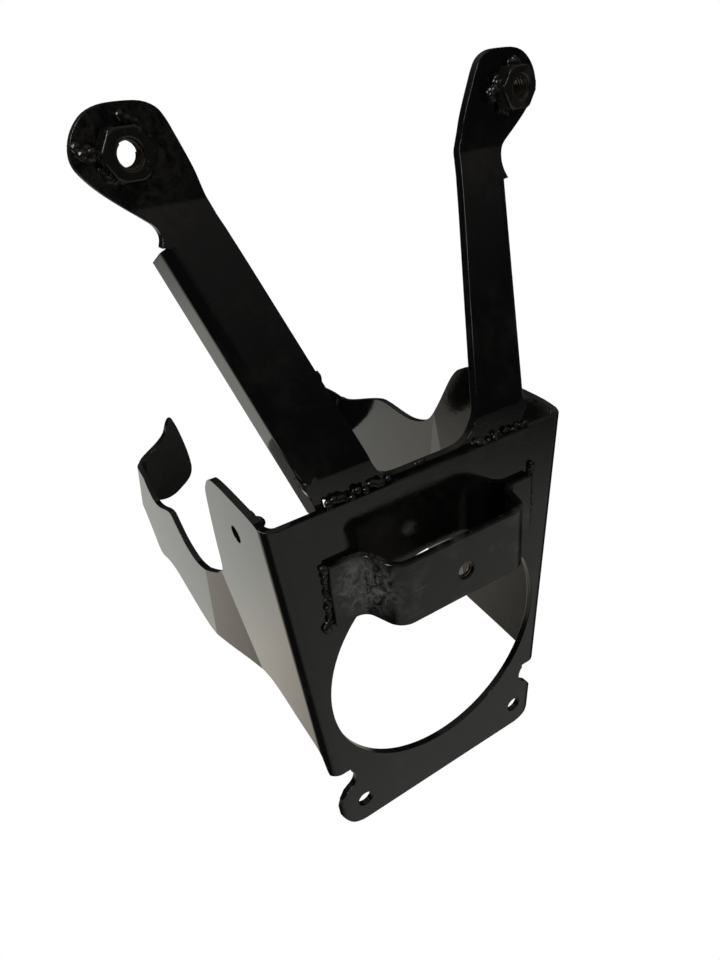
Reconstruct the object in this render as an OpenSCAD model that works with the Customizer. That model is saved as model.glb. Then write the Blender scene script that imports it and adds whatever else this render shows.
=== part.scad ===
// Front panel bracket: a folded steel panel with two side walls and a big
// round opening, a two-armed yoke welded behind its top edge, a hat shaped
// strap welded across its face, and weld nuts. Millimetres, +Z up.
// The origin is the centre of the big opening on the front face, X runs
// across the panel and Y runs back into the depth.

/* [Front panel] */
// Width of the front panel at its top edge, outside to outside
panel_w = 120; // [110:0.5:130]
// Height of the top edge above the centre of the big opening
panel_top = 76.8; // [72:0.2:84]
// Depth of the bottom edge below the centre of the big opening
panel_bottom = 67.1; // [66:0.1:72]
// Lean of each side edge, narrower towards the bottom, in degrees
taper = 4.33; // [3.5:0.01:5]
// Thickness of the folded panel and of the strap
sheet = 2.5; // [2:0.1:3]
// Outside radius of the folds of the panel
fold_r = 5; // [4:0.1:6.5]
// Radius of the big round opening
hole_r = 46.9; // [40:0.1:48]
// Radius of the two fixing holes in the lower ears
ear_hole_r = 3.3; // [2.2:0.1:4.5]
// Distance of each ear hole from the middle of the panel
ear_x = 38.6; // [36:0.1:41]
// Outside radius of the lower ears round their holes
ear_r = 11; // [9:0.1:12]

/* [Side walls] */
// Depth of the side walls, from the front face to the foot of the rear tabs
wall_depth = 166.3; // [150:0.5:180]
// How far the rear part of each wall steps outward
jog_out = 2.55; // [1:0.05:5]
// Turn of the step in degrees
jog_turn = 8.4; // [6:0.1:14]
// Lean of the rear tabs towards the front, in degrees
tab_lean = 24.7; // [15:0.1:30]
// Radius of the screw hole in the left wall
side_hole_r = 3.1; // [2.6:0.1:3.6]
// Distance of that hole behind the front face
side_hole_y = 26.7; // [20:0.1:34]
// Distance of that hole below the top edge, along the wall
side_hole_drop = 13.4; // [11:0.1:20]

/* [Arm yoke] */
// Thickness of the arm blank
arm_sheet = 3; // [2.5:0.1:3.5]
// Height of the foot of each arm above the top edge of the panel
foot_h = 11.2; // [8:0.1:16]
// Height of the leaning part of each arm
arm_rise = 75; // [65:0.5:85]
// How far the heads stand behind the feet
arm_back = 33.5; // [20:0.5:42]
// Depth of the stiffening flange along the outer edge of each arm
flange_d = 12.2; // [8:0.1:15]
// Outside radius of the fold along each flange
flange_r = 4; // [3.6:0.1:5]
// Radius of the clearance hole in each head
head_hole_r = 4.4; // [3.8:0.1:5]
// Distance of each head nut from the middle of the bracket
head_x = 64.2; // [62:0.1:66]
// Height of each head nut above the upper bend of its arm
head_nut_z = 14.4; // [12:0.1:16]
// How far the right head stands above that height, and the left one below it
head_skew = 1.6; // [0:0.1:3]

/* [Strap] */
// Distance of the strap front from the panel front
strap_out = 16.5; // [10:0.5:25]
// Height of the lower edge of the strap above the big opening centre
strap_z = 35.2; // [30:0.1:38]
// Height of the strap band
strap_h = 23.7; // [20:0.1:30]
// Half width across the feet of the strap
strap_foot_x = 42.2; // [40:0.1:46]
// Half width where the legs meet the panel
strap_leg_x = 30; // [28:0.1:33]
// Half width of the flat front of the strap
strap_front_x = 25.6; // [20:0.1:27]
// Outside radius of the strap folds
strap_r = 7; // [3.2:0.1:8]
// Radius of the tapped hole in the strap
strap_hole_r = 3.1; // [2.2:0.1:4]

/* [Weld nuts] */
// Width across the flats of the two head nuts
nut_af = 13; // [11:0.1:14]
// Thickness of the head nuts
nut_h = 6.5; // [4:0.1:8]
// Thread radius of the head nuts, at the crests
nut_bore_r = 3.4; // [2.5:0.05:3.7]
// Width across the flats of the side nut
side_nut_af = 10; // [8:0.1:12]
// Thickness of the side nut
side_nut_h = 5; // [3:0.1:6]
// Thread radius of the side nut, at the crests
side_nut_bore_r = 2.5; // [2:0.05:2.9]

/* [Hidden] */
$fn = 64;
big = 400;
half_w = panel_w / 2;
slope = tan(taper);
steel = [0.06, 0.06, 0.065];
zinc = [0.35, 0.33, 0.28];
notch_x = 46.6;
notch_z = -40.8;
notch_r = 5.3;
// the walls and the front overlap from here on, inside the sheet
lap = sheet / 2;
// lower end of the side folds, just above the notches
wall_end = notch_z + notch_r + 0.1;
ear_z = -panel_bottom + ear_r;

// half width of the panel, outside, at a height
function w_at(z) = half_w - slope * (panel_top - z);

// wall half width behind the step
rear_half = w_at(20) + jog_out;
// where the front face of the rear tabs crosses the lower end of their fold
tab_y = wall_depth;
tab_z = 9;
// the wall outlines are drawn for this depth and stretched behind the fold
drawn_depth = 166.3;
function deep(p) = [for (q = p) [q[0] < fold_r + 1 ? q[0]
    : fold_r + 1 + (q[0] - fold_r - 1) * (wall_depth - fold_r - 1) / (drawn_depth - fold_r - 1),
    q[1]]];

// a curve through points, each span cut in n
function spl(a, b, c, d, t) = 0.5 * ((2 * b) + (c - a) * t
    + (2 * a - 5 * b + 4 * c - d) * t * t + (3 * b - a - 3 * c + d) * t * t * t);
function curve(p, n) = let (m = len(p) - 1) concat(
    [for (i = [0 : m - 1], k = [0 : n - 1])
        spl(p[max(i - 1, 0)], p[i], p[i + 1], p[min(i + 2, m)], k / n)],
    [p[m]]);

// outline of the left wall, depth against height
left_top = curve([[2.5, panel_top], [9.9, 78.4], [22, 79.3], [31, 79.7], [37.5, 79.3],
    [41.5, 77.4], [45, 74], [47.5, 70.5], [49.9, 63.5], [52.4, 54.5], [55.2, 43],
    [56.8, 35], [59, 29.2], [63.5, 25], [71, 21.5], [78.5, 19], [86.6, 17.6], [94, 18.6],
    [101, 21.4], [106.5, 25.6], [111, 29.2], [117, 28.4], [127, 25], [135, 24],
    [141, 26.5], [145, 31.2], [150.5, 34.4], [158, 35.6]], 3);
left_low = curve([[158.6, 1.1], [155, -5], [151.8, -10.6], [148, -12.6], [140, -11],
    [132, -10.4], [124, -11.6], [113, -14.9], [102, -18], [91.5, -20], [84, -19.6],
    [72.5, -18.6], [56.5, -16.3], [47.8, -15.4], [39.8, -13.8], [31.5, -14.6],
    [17.7, -19.2], [7.2, -22.3], [4.3, -24.5], [3.5, -29], [3.0, -33.4], [2.5, wall_end]], 3);
// outline of the right wall, which stays higher in the middle
right_top = curve([[2.5, panel_top], [9.9, 78.4], [22, 79.3], [31, 79.7], [42.5, 80],
    [50, 79.8], [54.7, 78.5], [57.7, 76.4], [60.8, 72.4], [63.8, 67.1], [67, 61.1],
    [69.6, 56.6], [72.4, 52.4], [76, 48.9], [82, 45.9], [89.6, 44.3], [97.5, 44.6],
    [106, 45.7], [113, 46.1], [119, 44.9], [128.3, 41.9], [143.7, 36.4], [152, 34.4],
    [158, 35.6]], 3);
right_low = curve([[158.6, 1.1], [155, -5], [151.8, -10.6], [148, -12.6], [140, -12],
    [124, -14.6], [105, -19], [84, -23.6], [62, -26.8], [40.9, -29.2], [25.7, -31],
    [10.8, -33], [6.1, -34], [2.5, wall_end]], 3);
// rear end of both walls, cut off by the tabs
nose = [[190, 35.6], [190, 14], [166.6, 11.8], [163.4, 8.2], [161, 4.8]];
// outline of the rear tabs, half width against the distance up the tab
tab_line = curve([[60, 26.5], [56.9, 28.2], [51, 33.6], [46.5, 37.8], [43.2, 42.6],
    [41.7, 48.8], [40.2, 51.6], [38.4, 50.4], [36.5, 44.4], [34.4, 36], [32.6, 27.8],
    [31.3, 20.4], [30.6, 13.7], [31.2, 8.5], [33, 4.5], [36.5, 0.4], [40.2, -3],
    [44.5, -4.4], [49, -3.4], [52.6, -0.4], [55.6, 3.4], [60, 5]], 3);

// bends of the arms, measured on their front faces
arm_y = sheet;
foot_z = panel_top + foot_h;
head_z = foot_z + arm_rise;
arm_lean = atan(arm_back / arm_rise);
bend_r = 7;
// length of the leaning blade, and the part of its height along which the
// outer edge runs straight, from edge_low to edge_high across
blade = arm_rise / cos(arm_lean);
edge_part = 64.2 / 75;
edge_low = 40.1;
edge_high = 57.2;
// the flange follows that edge, and its fold laps over the blade a little
flange_out = atan((edge_high - edge_low) / (edge_part * blade));
flange_x = edge_low + (flange_r - 0.3) / cos(flange_out);
flange_below = 17;
flange_top = 0.884 * blade;

// front outline of one arm and half of its foot strip, across against height
strap_low = 62 - 76.8 + panel_top;
arm_inner = curve([[0, 78.2], [11, 78.2], [15.2, 79], [18.2, 81.2], [20.2, 84.6],
    [21.8, 89], [31.3, 120], [42, 155], [43.6, 161], [45, 166], [46.3, 171], [48, 175.7],
    [49.8, 180.2], [51.4, 184], [53.4, 186.8], [57, 188.5], [62, 188.9], [67, 188.6],
    [71, 187.2], [74, 184.6], [75.9, 181.6], [76.8, 178.4], [76.5, 175.6], [75, 173],
    [72.5, 170], [69.6, 167.2], [66, 164.1], [62.9, 161.5], [60.9, 159.3], [60, 156.8],
    [60.1, 154.6], [60.9, 152.6]], 3);
arm_outer = concat([[edge_high, 152.2], [edge_low, 88], [edge_low, 86]],
    curve([[43.5, 86], [43.6, 83.8], [42.6, 81.6], [40.4, 80.1], [38, 79.2], [36, 77]], 3),
    [[36, strap_low], [0, strap_low]]);
// side is 1 for the right arm and -1 for the left one
function lift(p, side) = [for (q = p) [q[0], (q[1] < 88
    ? q[1] - 76.8 + panel_top + max(0, q[1] - 78.2) * (foot_h - 11.2) / 9.8
    : q[1] < 163 ? foot_z + (q[1] - 88) * arm_rise / 75
    : head_z + q[1] - 163)
    + side * head_skew * max(0, min(1, (q[1] - 153) / 8))]];

// a strip of sheet folded along a path, as an outline with round bends
function heading(a, b) = atan2(b[1] - a[1], b[0] - a[0]);
function small(x) = x > 180 ? x - 360 : x < -180 ? x + 360 : x;
function dir(a) = [cos(a), sin(a)];
function bend(a, v, b, r, off) = let (
    h = heading(a, v), turn = small(heading(v, b) - h), s = sign(turn),
    c = v - r * tan(abs(turn) / 2) * dir(h) + r * dir(h + 90 * s))
    [for (k = [0 : 8]) c + (r - s * off) * dir(h - 90 * s + turn * k / 8)];
function edge(p, r, off) = let (m = len(p) - 1) concat(
    [p[0] + off * dir(heading(p[0], p[1]) + 90)],
    [for (i = [1 : m - 1], q = bend(p[i - 1], p[i], p[i + 1], r, off)) q],
    [p[m] + off * dir(heading(p[m - 1], p[m]) + 90)]);
function back(p) = [for (i = [len(p) - 1 : -1 : 0]) p[i]];
function folded(p, r, t) = concat(edge(p, r, t / 2), back(edge(p, r, -t / 2)));

// side profile of the yoke: foot, leaning blade and head, along its middle
half_t = arm_sheet / 2;
ease = half_t * tan(arm_lean / 2);
arm_profile = folded([[arm_y + half_t, strap_low - 5], [arm_y + half_t, foot_z - ease],
    [arm_y + arm_back + half_t, head_z - ease], [arm_y + arm_back + half_t, head_z + 60]],
    bend_r, arm_sheet);

// plan of the strap: feet, legs and front, along its middle
strap_mid = sheet / 2 - strap_out;
strap_path = [[-strap_foot_x, -sheet / 2], [-strap_leg_x, -sheet / 2],
    [-strap_front_x, strap_mid], [strap_front_x, strap_mid],
    [strap_leg_x, -sheet / 2], [strap_foot_x, -sheet / 2]];

// the space inside the folded panel, drawn in by off from its outer faces
module side_space(off) {
    translate([half_w, 0, panel_top]) rotate([0, taper, 0]) {
        translate([-big, off, -big / 2]) cube([big - fold_r, big, big]);
        translate([-big, fold_r, -big / 2]) cube([big - off, big, big]);
        translate([-fold_r, fold_r, -big / 2]) cylinder(r = fold_r - off, h = big);
    }
    intersection() {
        translate([w_at(26.3), deep([[61.4, 0]])[0][0], 26.3]) rotate([0, 1.4, -jog_turn])
            translate([-big, -20, -big / 2]) cube([big - off, big, big]);
        translate([rear_half - off - big, 40, -big / 2]) cube([big, big, big]);
    }
}

module tab_space(off) {
    translate([-big, -big, -big / 2]) cube([big + rear_half - fold_r, big - off, big]);
    translate([-big, -big, -big / 2]) cube([big + rear_half - off, big - fold_r, big]);
    translate([rear_half - fold_r, -fold_r, -big / 2]) cylinder(r = fold_r - off, h = big);
}

module tab_place() {
    translate([0, tab_y + sheet * cos(tab_lean), tab_z + sheet * sin(tab_lean)])
        rotate([tab_lean, 0, 0]) children();
}

module inside(off) {
    intersection() {
        side_space(off);
        mirror([1, 0, 0]) side_space(off);
        union() {
            translate([-big / 2, -big / 2, -big / 2]) cube([big, big / 2 + 90, big]);
            tab_place() intersection() {
                tab_space(off);
                mirror([1, 0, 0]) tab_space(off);
            }
        }
    }
}

// front outline of the panel, wider than the panel above the ears
module front_outline() {
    difference() {
        union() {
            translate([-big / 4, wall_end]) square([big / 2, panel_top - wall_end]);
            translate([-43, notch_z - notch_r]) square([86, 12]);
            for (s = [-1, 1]) polygon([[s * 38, -42], [s * 42.6, -44.2],
                [s * 46.2, -47], [s * 48.5, -50.7], [s * 40, -56]]);
            translate([-ear_x, -panel_bottom]) square([2 * ear_x, 25]);
            for (s = [-1, 1]) translate([s * ear_x, ear_z]) circle(r = ear_r);
        }
        circle(r = hole_r, $fn = 128);
        for (s = [-1, 1]) {
            translate([s * notch_x, notch_z]) circle(r = notch_r);
            translate([s * ear_x, ear_z]) circle(r = ear_hole_r);
        }
    }
}

// one wall: what its outline leaves of the shell beyond the front fold
module wall(pts) {
    intersection() {
        shell();
        translate([40, 0, 0]) rotate([90, 0, 90]) linear_extrude(height = 50)
            polygon(concat([[lap, wall_end], [lap, panel_top]], pts));
        translate([half_w - fold_r + 0.4, -big / 2, panel_top]) rotate([0, taper, 0])
            translate([0, 0, -big / 2]) cube(big);
    }
}

module tab_prism() {
    rotate([90, 0, 0]) linear_extrude(height = sheet + 1.1) polygon(tab_line);
}

module shell() {
    difference() {
        inside(0);
        inside(sheet);
    }
}

module front_panel() {
    color(steel) difference() {
        union() {
            intersection() {
                shell();
                translate([0, sheet + 0.1, 0]) rotate([90, 0, 0])
                    linear_extrude(height = sheet + 2) front_outline();
            }
            mirror([1, 0, 0]) wall(deep(concat(left_top, nose, left_low)));
            wall(deep(concat(right_top, nose, right_low)));
            intersection() {
                shell();
                tab_place() translate([0, 1, 0]) {
                    tab_prism();
                    mirror([1, 0, 0]) tab_prism();
                }
            }
        }
        translate([-half_w, 0, panel_top]) rotate([0, -taper, 0])
            translate([-1, side_hole_y, -side_hole_drop])
            rotate([0, 90, 0]) cylinder(r = side_hole_r, h = sheet + 2);
    }
}

// the flange is square to the blade and follows its outer edge
module arm_flange() {
    intersection() {
        translate([0, arm_y, foot_z]) rotate([-arm_lean, 0, 0])
            translate([flange_x, 0, 0]) rotate([0, flange_out, 0])
            translate([0, 0, -flange_below]) linear_extrude(height = flange_below + flange_top) {
                translate([-arm_sheet, flange_r]) square([arm_sheet, flange_d - flange_r]);
                intersection() {
                    translate([-flange_r, flange_r]) difference() {
                        circle(r = flange_r);
                        circle(r = flange_r - arm_sheet);
                    }
                    translate([-flange_r, 0]) square(flange_r);
                }
            }
        translate([0, arm_y, panel_top - 4]) cube([100, 100, 200]);
    }
}

module arm_yoke() {
    color(steel) difference() {
        union() {
            intersection() {
                rotate([90, 0, 90]) translate([0, 0, -90]) linear_extrude(height = 180)
                    polygon(arm_profile);
                for (s = [0, 1]) mirror([s, 0, 0]) translate([0, 80, 0]) rotate([90, 0, 0])
                    linear_extrude(height = 90)
                    polygon(lift(concat(arm_inner, arm_outer), 1 - 2 * s));
            }
            arm_flange();
            mirror([1, 0, 0]) arm_flange();
        }
        for (s = [-1, 1])
            translate([s * head_x, arm_y + arm_back - 1, head_z + head_nut_z + s * head_skew])
            rotate([-90, 0, 0]) cylinder(r = head_hole_r, h = arm_sheet + 2);
    }
}

module tie_strap() {
    color(steel) difference() {
        translate([0, 0, strap_z]) linear_extrude(height = strap_h)
            polygon(folded(strap_path, strap_r - sheet / 2, sheet));
        translate([0, -strap_out - 1, strap_z + strap_h * 0.44])
            rotate([-90, 0, 0]) cylinder(r = strap_hole_r, h = sheet + 2);
    }
}

module hex_nut(af, h, r) {
    difference() {
        intersection() {
            cylinder(r = af / sqrt(3), h = h, $fn = 6);
            cylinder(r1 = af * 0.72, r2 = af * 0.47, h = h + af * 0.12);
        }
        translate([0, 0, -1]) cylinder(r = r, h = h + 2);
    }
}

module head_nuts() {
    color(zinc) for (s = [-1, 1])
        translate([s * head_x, arm_y + arm_back, head_z + head_nut_z + s * head_skew])
        rotate([90, 0, 0]) hex_nut(nut_af, nut_h, nut_bore_r);
}

module side_nut() {
    color(zinc) translate([-half_w, 0, panel_top]) rotate([0, -taper, 0])
        translate([sheet, side_hole_y, -side_hole_drop])
        rotate([0, 90, 0]) hex_nut(side_nut_af, side_nut_h, side_nut_bore_r);
}

front_panel();
arm_yoke();
tie_strap();
head_nuts();
side_nut();
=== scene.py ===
from math import pi
import bpy
from mathutils import Matrix, Vector


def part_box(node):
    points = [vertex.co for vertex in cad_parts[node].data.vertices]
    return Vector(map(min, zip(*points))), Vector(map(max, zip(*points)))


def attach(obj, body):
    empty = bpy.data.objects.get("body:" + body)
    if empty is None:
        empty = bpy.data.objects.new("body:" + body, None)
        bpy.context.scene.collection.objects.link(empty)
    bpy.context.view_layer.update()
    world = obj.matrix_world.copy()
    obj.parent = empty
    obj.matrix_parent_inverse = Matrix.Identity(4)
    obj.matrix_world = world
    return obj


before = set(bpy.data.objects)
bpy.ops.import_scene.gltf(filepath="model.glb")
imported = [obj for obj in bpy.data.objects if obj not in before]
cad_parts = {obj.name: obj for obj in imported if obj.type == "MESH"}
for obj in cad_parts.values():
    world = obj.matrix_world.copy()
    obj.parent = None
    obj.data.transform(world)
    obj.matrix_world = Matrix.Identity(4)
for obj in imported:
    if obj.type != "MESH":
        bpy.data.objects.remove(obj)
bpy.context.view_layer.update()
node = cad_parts
scene = bpy.context.scene

# Front panel.
# The folded sheet with its walls, ears and rear tabs. One piece of steel under
# gloss black paint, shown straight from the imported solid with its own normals.


class Sock:
    """A shader socket with arithmetic, so that node maths reads as maths."""

    def __init__(self, out):
        self.out = out
        self.tree = out.id_data

    @staticmethod
    def feed(made, sockets):
        """Links a node's sockets, by name or place, or sets their values."""
        for key, value in sockets.items():
            if isinstance(value, Sock):
                value.tree.links.new(value.out, made.inputs[key])
            else:
                made.inputs[key].default_value = value

    @classmethod
    def node(cls, tree, kind, settings, sockets, out=0):
        """Any node, with its settings set first and its sockets fed after them."""
        made = tree.nodes.new(kind)
        for key, value in settings.items():
            setattr(made, key, value)
        cls.feed(made, sockets)
        return cls(made.outputs[out])

    def maths(self, operation, first, second):
        return Sock.node(self.tree, "ShaderNodeMath", {"operation": operation},
                         {0: first, 1: second})

    def __add__(self, other):
        return self.maths("ADD", self, other)

    __radd__ = __add__

    def __sub__(self, other):
        return self.maths("SUBTRACT", self, other)

    def __rsub__(self, other):
        return self.maths("SUBTRACT", other, self)

    def __mul__(self, other):
        return self.maths("MULTIPLY", self, other)

    __rmul__ = __mul__

    def ramp(self, low, high):
        """0 below low, 1 above high, straight between them."""
        return Sock.node(self.tree, "ShaderNodeMapRange", {},
                         {"Value": self, "From Min": low, "From Max": high})


def new_material(name):
    """A material with its node tree, its shader and the place on the piece."""
    material = bpy.data.materials.new(name)
    material.use_nodes = True
    tree = material.node_tree
    spot = Sock.node(tree, "ShaderNodeTexCoord", {}, {}, out="Object")
    return material, tree, tree.nodes["Principled BSDF"], spot


def blend(tree, factor, first, second):
    """A colour between two others, which are colours or sockets."""
    ends = [c if isinstance(c, Sock) else (*c, 1.0) for c in (first, second)]
    return Sock.node(tree, "ShaderNodeMix", {"data_type": "RGBA"},
                     {0: factor, 6: ends[0], 7: ends[1]}, out=2)


def paint(name, base, dust_and_sheen, peel, shift, scuffed=0.35, gloss=0.08, grain=620.0,
          wear_and_sheen_at=None, wear_and_sheen_radius=0.014, wear_and_sheen=0.0):
    """Gloss black paint: orange peel, slow waves, faint dust, rubbed scuffs, and a lighter
    streaked patch round one point, which is rubbed wear on some pieces and painted sheen on
    others.
    """
    material, tree, shader, spot = new_material(name)
    place = Sock.node(tree, "ShaderNodeVectorMath", {"operation": "ADD"}, {0: spot, 1: shift})

    def noise(scale, detail, **others):
        sockets = {"Vector": place, "Scale": scale, "Detail": detail, **others}
        return Sock.node(tree, "ShaderNodeTexNoise", {}, sockets)

    fine = noise(grain, 2.0)
    slow = noise(58.0, 1.5)
    dust = noise(34.0, 8.0, Roughness=0.7)
    drawn = Sock.node(tree, "ShaderNodeVectorMath", {"operation": "MULTIPLY"},
                      {0: place, 1: (30.0, 30.0, 900.0)})
    scuff = noise(1.0, 5.0, Roughness=0.75, Vector=drawn)
    specks = Sock.node(tree, "ShaderNodeTexVoronoi", {}, {"Vector": place, "Scale": 260.0})
    grit = specks.maths("LESS_THAN", specks, 0.07)
    veil = dust.ramp(0.52, 0.78)
    rubbed = scuff.ramp(0.62, 0.74) * dust.ramp(0.40, 0.58)
    tone = veil * 0.55 + rubbed * scuffed + grit * 0.25
    height = fine * 0.35 + slow + grit * 0.12
    # A lighter streaked patch round one point: real dull, rubbed paint on the panel and
    # strap, painted sheen on the arm's left head.
    if wear_and_sheen_at:
        away = Sock.node(tree, "ShaderNodeVectorMath", {"operation": "DISTANCE"},
                         {0: spot, 1: wear_and_sheen_at}, out="Value")
        near = away.ramp(wear_and_sheen_radius, wear_and_sheen_radius * 0.3)
        streak = noise(240.0, 7.0, Roughness=0.7, Distortion=1.5)
        tone = tone + near * streak.ramp(0.40, 0.66) * wear_and_sheen
        height = height + near * streak * 0.8
    rounded = Sock.node(tree, "ShaderNodeBevel", {"samples": 6}, {"Radius": 0.00045})
    bump = Sock.node(tree, "ShaderNodeBump", {}, {
        "Height": height, "Strength": peel, "Distance": 0.00030, "Normal": rounded})
    Sock.feed(shader, {
        "Base Color": blend(tree, tone.maths("MINIMUM", tone, 1.0), base, dust_and_sheen),
        "Roughness": gloss + veil * 0.03,
        "Specular IOR Level": 0.60,
        "Normal": bump})
    return material


def dress(piece, material, edge=None):
    """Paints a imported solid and, where edge is given, rounds its sheared edges."""
    piece.data.materials.clear()
    piece.data.materials.append(material)
    if edge:
        weld = piece.modifiers.new("weld", "WELD")
        weld.merge_threshold = 0.00002
        flat = piece.modifiers.new("flat_faces", "DECIMATE")
        flat.decimate_type = "DISSOLVE"
        flat.angle_limit = 0.009
        soft = piece.modifiers.new("soft_edges", "BEVEL")
        soft.width = edge
        soft.segments = 2
        soft.limit_method = "ANGLE"
        soft.angle_limit = 0.61
        soft.use_clamp_overlap = False
        even = piece.modifiers.new("even_normals", "WEIGHTED_NORMAL")
        even.weight = 90
        even.keep_sharp = False


panel_paint = paint("panel_paint", (0.0010, 0.0011, 0.0011), (0.012, 0.0115, 0.010),
                    peel=0.16, shift=(0.0, 0.0, 0.0), wear_and_sheen_at=(-0.008, 0.0, 0.0660),
                    wear_and_sheen_radius=0.034, wear_and_sheen=0.25)
dress(node["front_panel"], panel_paint)

# Arm yoke.
# Both arms and their cross strip, one blank of thicker sheet with a flange down
# each outer edge. Pressed, bent, and painted after welding.
# The lighter patch round the left head is painted sheen: it lifts the head's tone to stand
# for light that its paint reflects.
arm_paint = paint("arm_paint", (0.0008, 0.0009, 0.0009), (0.0105, 0.0098, 0.0082),
                  peel=0.20, shift=(0.31, 0.07, 0.11), scuffed=0.15,
                  wear_and_sheen_at=(-0.0660, 0.0320, 0.1750), wear_and_sheen_radius=0.026, wear_and_sheen=1.1)
dress(node["arm_yoke"], arm_paint)

# Tie strap.
# The hat shaped strap across the panel, welded down at both feet. Its bent legs
# carry more rubbed marks than the rest.
strap_paint = paint("strap_paint", (0.0014, 0.0015, 0.0015), (0.070, 0.069, 0.064),
                    peel=0.19, shift=(0.17, 0.43, 0.29), scuffed=0.8, gloss=0.096,
                    wear_and_sheen_at=(-0.0310, -0.0050, 0.0485), wear_and_sheen=1.1)
dress(node["tie_strap"], strap_paint, edge=0.00040)

# Head nuts.
# Two hexagon weld nuts under the same paint, thicker and more uneven here than
# on the sheet. The threads are bare metal, browned by the weld heat.


def plating(name, colour, dark):
    """Bare thread metal, clouded between its colour and a darker one."""
    material, tree, shader, spot = new_material(name)
    cloud = Sock.node(tree, "ShaderNodeTexNoise", {},
                      {"Vector": spot, "Scale": 900.0, "Detail": 4.0})
    bright = cloud.ramp(0.42, 0.62)
    Sock.feed(shader, {
        "Base Color": blend(tree, bright, dark, colour),
        "Roughness": 0.5 - bright * 0.2,
        "Metallic": 0.4 + bright * 0.5})
    return material


def new_tree(name, inputs):
    """A Geometry Nodes tree with named inputs, and the sockets that give them."""
    tree = bpy.data.node_groups.new(name, "GeometryNodeTree")
    for label, kind in inputs:
        tree.interface.new_socket(label, in_out="INPUT", socket_type="NodeSocket" + kind)
    tree.interface.new_socket("Geometry", in_out="OUTPUT", socket_type="NodeSocketGeometry")
    return tree, tree.nodes.new("NodeGroupInput").outputs


def close_tree(tree, shape, material):
    """Ends a tree in real meshes that carry the material."""
    real = tree.nodes.new("GeometryNodeRealizeInstances")
    painted = tree.nodes.new("GeometryNodeSetMaterial")
    painted.inputs["Material"].default_value = material
    made = tree.nodes.new("NodeGroupOutput")
    tree.links.new(shape, real.inputs[0])
    tree.links.new(real.outputs[0], painted.inputs["Geometry"])
    tree.links.new(painted.outputs[0], made.inputs["Geometry"])


def thread_tree(name, material):
    """Thread ridges along a bore: a small round profile swept round a spiral."""
    tree, given = new_tree(name, (("Radius", "Float"), ("Height", "Float"),
                                  ("Turns", "Float"), ("Ridge", "Float")))
    spiral = tree.nodes.new("GeometryNodeCurveSpiral")
    spiral.inputs["Resolution"].default_value = 40
    profile = tree.nodes.new("GeometryNodeCurvePrimitiveCircle")
    profile.inputs["Resolution"].default_value = 6
    sweep = tree.nodes.new("GeometryNodeCurveToMesh")
    sweep.inputs["Fill Caps"].default_value = True
    for source, target in ((given["Radius"], spiral.inputs["Start Radius"]),
                           (given["Radius"], spiral.inputs["End Radius"]),
                           (given["Height"], spiral.inputs["Height"]),
                           (given["Turns"], spiral.inputs["Rotations"]),
                           (given["Ridge"], profile.inputs["Radius"]),
                           (spiral.outputs[0], sweep.inputs["Curve"]),
                           (profile.outputs[0], sweep.inputs["Profile Curve"])):
        tree.links.new(source, target)
    close_tree(tree, sweep.outputs[0], material)
    return tree


def grow(name, tree, values, place):
    """Runs a tree, keeps its result as a plain mesh at the origin, and rides it on root."""
    seed = bpy.data.objects.new(name + "_seed", bpy.data.meshes.new(name + "_seed"))
    scene.collection.objects.link(seed)
    growth = seed.modifiers.new("grow", "NODES")
    growth.node_group = tree
    for item in tree.interface.items_tree:
        if item.item_type == "SOCKET" and item.in_out == "INPUT":
            growth[item.identifier] = values[item.name]
    bpy.context.view_layer.update()
    shown = bpy.context.evaluated_depsgraph_get()
    mesh = bpy.data.meshes.new_from_object(seed.evaluated_get(shown), depsgraph=shown)
    bpy.data.objects.remove(seed)
    mesh.transform(place)
    mesh.name = name
    for face in mesh.polygons:
        face.use_smooth = True
    piece = bpy.data.objects.new(name, mesh)
    scene.collection.objects.link(piece)
    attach(piece, "root")


def turns(name, tree, place, radius, height, pitch):
    """The thread ridges of one bore, rising from place along its own upright axis."""
    grow(name, tree, {"Radius": radius, "Height": height, "Turns": height / pitch,
                      "Ridge": pitch * 0.30}, place)


nut_paint = paint("nut_paint", (0.0030, 0.0030, 0.0026), (0.045, 0.040, 0.030),
                  peel=0.45, shift=(0.53, 0.21, 0.37), scuffed=0.3, gloss=0.12)
dress(node["head_nuts"], nut_paint, edge=0.00095)
brown_thread = thread_tree("brown_thread", plating("brown_thread", (0.085, 0.060, 0.030),
                                                   (0.010, 0.009, 0.007)))
low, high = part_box("head_nuts")
head_x = 0.0642
head_skew = 0.0016
middle_z = (low.z + high.z) / 2
nut_face_y = high.y - 0.0003
along_front = Matrix.Rotation(pi / 2, 4, "X")
for side, sign in (("left", -1), ("right", 1)):
    bore = Matrix.Translation((sign * head_x, nut_face_y, middle_z + sign * head_skew))
    turns("head_thread_" + side, brown_thread, bore @ along_front,
          radius=0.00348, height=0.0058, pitch=0.00125)

# Strap thread.
# The hole in the strap front is tapped, and its thread is bare of paint, with a
# dull yellow plating. Its ridges sit inside the strap's own thickness.
yellow_thread = thread_tree("yellow_thread", plating("yellow_plating", (0.26, 0.20, 0.09),
                                                     (0.03, 0.026, 0.016)))
strap_front_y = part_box("tie_strap")[0].y
strap_hole = Matrix.Translation((0.0, strap_front_y + 0.0024, 0.04563))
turns("strap_thread", yellow_thread, strap_hole @ along_front,
      radius=0.00316, height=0.0019, pitch=0.0010)

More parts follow.
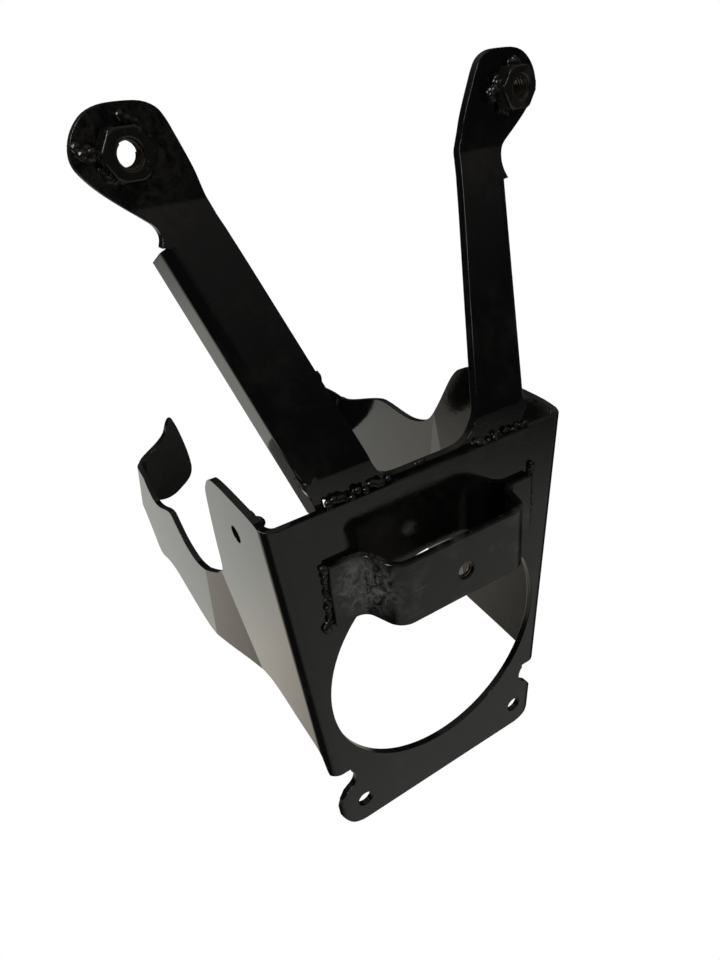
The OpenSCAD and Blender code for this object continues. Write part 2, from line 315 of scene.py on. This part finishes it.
# Side nut.
# A smaller weld nut behind the hole in the left wall, square to the wall, which
# leans in with the panel's taper.
dress(node["side_nut"], nut_paint, edge=0.00025)
wall_lean = -0.0755723
wall_top = Matrix.Translation((-0.060, 0.0, 0.0768)) @ Matrix.Rotation(wall_lean, 4, "Y")
wall_hole = Matrix.Translation((0.0028, 0.0267, -0.0134)) @ Matrix.Rotation(pi / 2, 4, "Y")
turns("side_thread", yellow_thread, wall_top @ wall_hole,
      radius=0.00256, height=0.0044, pitch=0.0010)

# Weld beads.
# Hand-laid beads at the arm feet and strap feet, and tacks round the nuts. The
# paint over them is rough and catches small glints.
bead_paint = paint("bead_paint", (0.0035, 0.0034, 0.0030), (0.060, 0.054, 0.040),
                   peel=1.00, shift=(0.11, 0.61, 0.19), scuffed=0.4, gloss=0.06,
                   grain=1300.0)


def bead_tree():
    """A row of points of uneven size, melted together into one closed skin."""
    tree, given = new_tree("weld_bead", (("Start", "Vector"), ("Step", "Vector"),
                                         ("Count", "Int"), ("Radius", "Float"),
                                         ("Scatter", "Float"), ("Seed", "Int"),
                                         ("Voxel", "Float")))
    row = tree.nodes.new("GeometryNodeMeshLine")
    row.mode = "OFFSET"
    points = tree.nodes.new("GeometryNodeMeshToPoints")
    uneven = tree.nodes.new("FunctionNodeRandomValue")
    uneven.inputs[2].default_value = 0.70
    uneven.inputs[3].default_value = 1.25
    size = tree.nodes.new("ShaderNodeMath")
    size.operation = "MULTIPLY"
    away = tree.nodes.new("FunctionNodeRandomValue")
    away.data_type = "FLOAT_VECTOR"
    away.inputs[0].default_value = (-1, -1, -1)
    away.inputs[1].default_value = (1, 1, 1)
    shift = tree.nodes.new("ShaderNodeVectorMath")
    shift.operation = "SCALE"
    jitter = tree.nodes.new("GeometryNodeSetPosition")
    cloud = tree.nodes.new("GeometryNodePointsToVolume")
    cloud.resolution_mode = "VOXEL_SIZE"
    skin = tree.nodes.new("GeometryNodeVolumeToMesh")
    for source, target in ((given["Start"], row.inputs["Start Location"]),
                           (given["Step"], row.inputs["Offset"]),
                           (given["Count"], row.inputs["Count"]),
                           (row.outputs[0], points.inputs["Mesh"]),
                           (given["Seed"], uneven.inputs["Seed"]),
                           (uneven.outputs[1], size.inputs[0]),
                           (given["Radius"], size.inputs[1]),
                           (given["Seed"], away.inputs["Seed"]),
                           (away.outputs[0], shift.inputs[0]),
                           (given["Scatter"], shift.inputs["Scale"]),
                           (points.outputs[0], jitter.inputs["Geometry"]),
                           (shift.outputs[0], jitter.inputs["Offset"]),
                           (jitter.outputs[0], cloud.inputs["Points"]),
                           (size.outputs[0], cloud.inputs["Radius"]),
                           (given["Voxel"], cloud.inputs["Voxel Size"]),
                           (cloud.outputs[0], skin.inputs["Volume"])):
        tree.links.new(source, target)
    close_tree(tree, skin.outputs[0], bead_paint)
    return tree


weld_bead = bead_tree()


def bead(name, start, end, count, radius, scatter, seed):
    """One weld from start to end, all in millimetres."""
    first = Vector(start) / 1000
    last = Vector(end) / 1000
    grow(name, weld_bead, {"Start": first, "Step": (last - first) / (count - 1),
                           "Count": count, "Radius": radius / 1000,
                           "Scatter": scatter / 1000, "Seed": seed, "Voxel": 0.00022},
         Matrix.Identity(4))


# Each weld gives its start, end, number of drops, radius, scatter and seed.
bead("foot_weld_left", (-37.5, 1.9, 77.6), (-16.0, 2.1, 77.9), 30, 1.15, 1.1, 3)
bead("foot_weld_right", (20.0, 2.0, 77.6), (42.5, 2.0, 77.5), 34, 0.95, 0.9, 8)
bead("strap_weld_left", (-43.0, -0.5, 58.6), (-43.2, -0.5, 36.5), 34, 1.05, 0.55, 5)
bead("strap_end_left", (-44.2, 0.0, 35.6), (-45.0, 0.2, 34.0), 5, 1.6, 0.5, 6)
bead("strap_weld_right", (43.0, -0.5, 59.6), (43.2, -0.5, 37.6), 34, 0.9, 0.45, 11)
bead("strap_end_right", (43.4, -0.4, 61.6), (43.4, -0.4, 59.2), 5, 1.1, 0.4, 12)
bead("tack_left_outer", (-74.9, 35.2, 177.6), (-70.6, 34.6, 175.0), 18, 1.25, 1.2, 21)
bead("tack_left_low", (-70.6, 34.8, 172.6), (-68.6, 34.8, 170.2), 6, 1.0, 0.7, 24)
bead("tack_left_top", (-63.4, 35.2, 184.2), (-60.4, 34.8, 182.0), 9, 1.0, 0.8, 22)
bead("tack_left_inner", (-58.4, 35.0, 180.2), (-56.4, 35.0, 175.6), 10, 1.1, 0.9, 23)
bead("tack_right_inner", (58.6, 34.8, 181.6), (56.4, 35.0, 176.8), 14, 1.35, 1.0, 31)
bead("tack_right_top", (64.6, 35.0, 186.4), (68.6, 34.8, 185.6), 9, 1.1, 0.8, 32)
bead("tack_right_low", (60.2, 35.0, 173.6), (63.6, 35.0, 171.6), 8, 1.0, 0.7, 33)
bead("wall_tack", (-56.7, 15.0, 73.5), (-56.7, 10.0, 75.6), 10, 1.4, 0.35, 42)
bead("ridge_drop", (-3.4, 3.4, 77.9), (-0.8, 3.4, 78.3), 4, 1.0, 0.4, 41)

# Studio.
# A pale floor well below the part, a soft wide light and a world whose mirror
# image is bright behind the part and dark in front, as the paint shows it.
floor_paint, tree, shader, spot = new_material("pale_floor")
Sock.feed(shader, {"Base Color": (0.85, 0.85, 0.84, 1.0), "Roughness": 0.9})
seen = Sock.node(tree, "ShaderNodeLightPath", {}, {}, out="Is Camera Ray")
white = Sock.node(tree, "ShaderNodeEmission", {}, {"Color": (1.0, 1.0, 1.0, 1.0)})
either = Sock.node(tree, "ShaderNodeMixShader", {},
                   {0: seen, 1: Sock(shader.outputs[0]), 2: white})
Sock.feed(tree.nodes["Material Output"], {"Surface": either})
bpy.ops.mesh.primitive_plane_add(size=6.0, location=(0.0, 0.6, -0.30))
floor = bpy.context.object
floor.name = "floor"
floor.data.materials.append(floor_paint)
floor.visible_glossy = False


def soft_light(name, at, to, wide, tall, power, mirrored):
    """An area lamp aimed from one point at another; mirrored ones show in the paint."""
    data = bpy.data.lights.new(name, "AREA")
    data.shape = "RECTANGLE"
    data.size = wide
    data.size_y = tall
    data.energy = power
    lamp = bpy.data.objects.new(name, data)
    lamp.location = at
    lamp.rotation_euler = (Vector(to) - Vector(at)).to_track_quat("-Z", "Y").to_euler()
    lamp.visible_glossy = mirrored
    scene.collection.objects.link(lamp)


soft_light("window", (-0.75, 0.10, 0.75), (0.0, 0.05, 0.05), 0.30, 0.60, 5.0, True)
soft_light("top_lamp", (0.15, -0.10, 1.0), (0.0, 0.05, 0.0), 0.15, 0.15, 1.5, False)

world = bpy.data.worlds.new("studio")
scene.world = world
world.use_nodes = True
sky = world.node_tree
sky.nodes.clear()
way = Sock.node(sky, "ShaderNodeTexCoord", {}, {}, out="Generated")
depth = Sock.node(sky, "ShaderNodeSeparateXYZ", {}, {0: way}, out="Y")
up = Sock.node(sky, "ShaderNodeSeparateXYZ", {}, {0: way}, out="Z")
behind = depth.ramp(0.44, 0.71) * up.ramp(-0.22, -0.42)
ahead = depth.ramp(-0.15, -0.50) * up.ramp(-0.40, -0.54)
ceiling = blend(sky, up.ramp(0.34, 0.66), (0.022, 0.022, 0.023), (0.19, 0.175, 0.165))
front = blend(sky, ahead, ceiling, (0.33, 0.33, 0.305))
far_side = blend(sky, depth.ramp(0.68, 0.78), (0.945, 0.865, 0.75), (0.81, 0.82, 0.76))
mirror_side = Sock.node(sky, "ShaderNodeBackground", {},
                        {"Color": blend(sky, behind, front, far_side)})
open_side = Sock.node(sky, "ShaderNodeBackground", {}, {"Color": (1.0, 1.0, 1.0, 1.0)})
glossy = Sock.node(sky, "ShaderNodeLightPath", {}, {}, out="Is Glossy Ray")
around = Sock.node(sky, "ShaderNodeMixShader", {}, {0: glossy, 1: open_side, 2: mirror_side})
Sock.feed(sky.nodes.new("ShaderNodeOutputWorld"), {"Surface": around})

lens = bpy.data.cameras.new("photo_camera")
lens.sensor_width = 36.0
lens.lens = 26.898
lens.clip_start = 0.01
camera = bpy.data.objects.new("photo_camera", lens)
camera.matrix_world = Matrix(((0.8342542, 0.3377829, -0.4358012, -0.120101),
                              (-0.5442692, 0.3779571, -0.7489456, -0.160475),
                              (-0.0882668, 0.8620042, 0.4991571, 0.189668),
                              (0.0, 0.0, 0.0, 1.0)))
scene.collection.objects.link(camera)
scene.camera = camera
scene.view_settings.view_transform = "Standard"
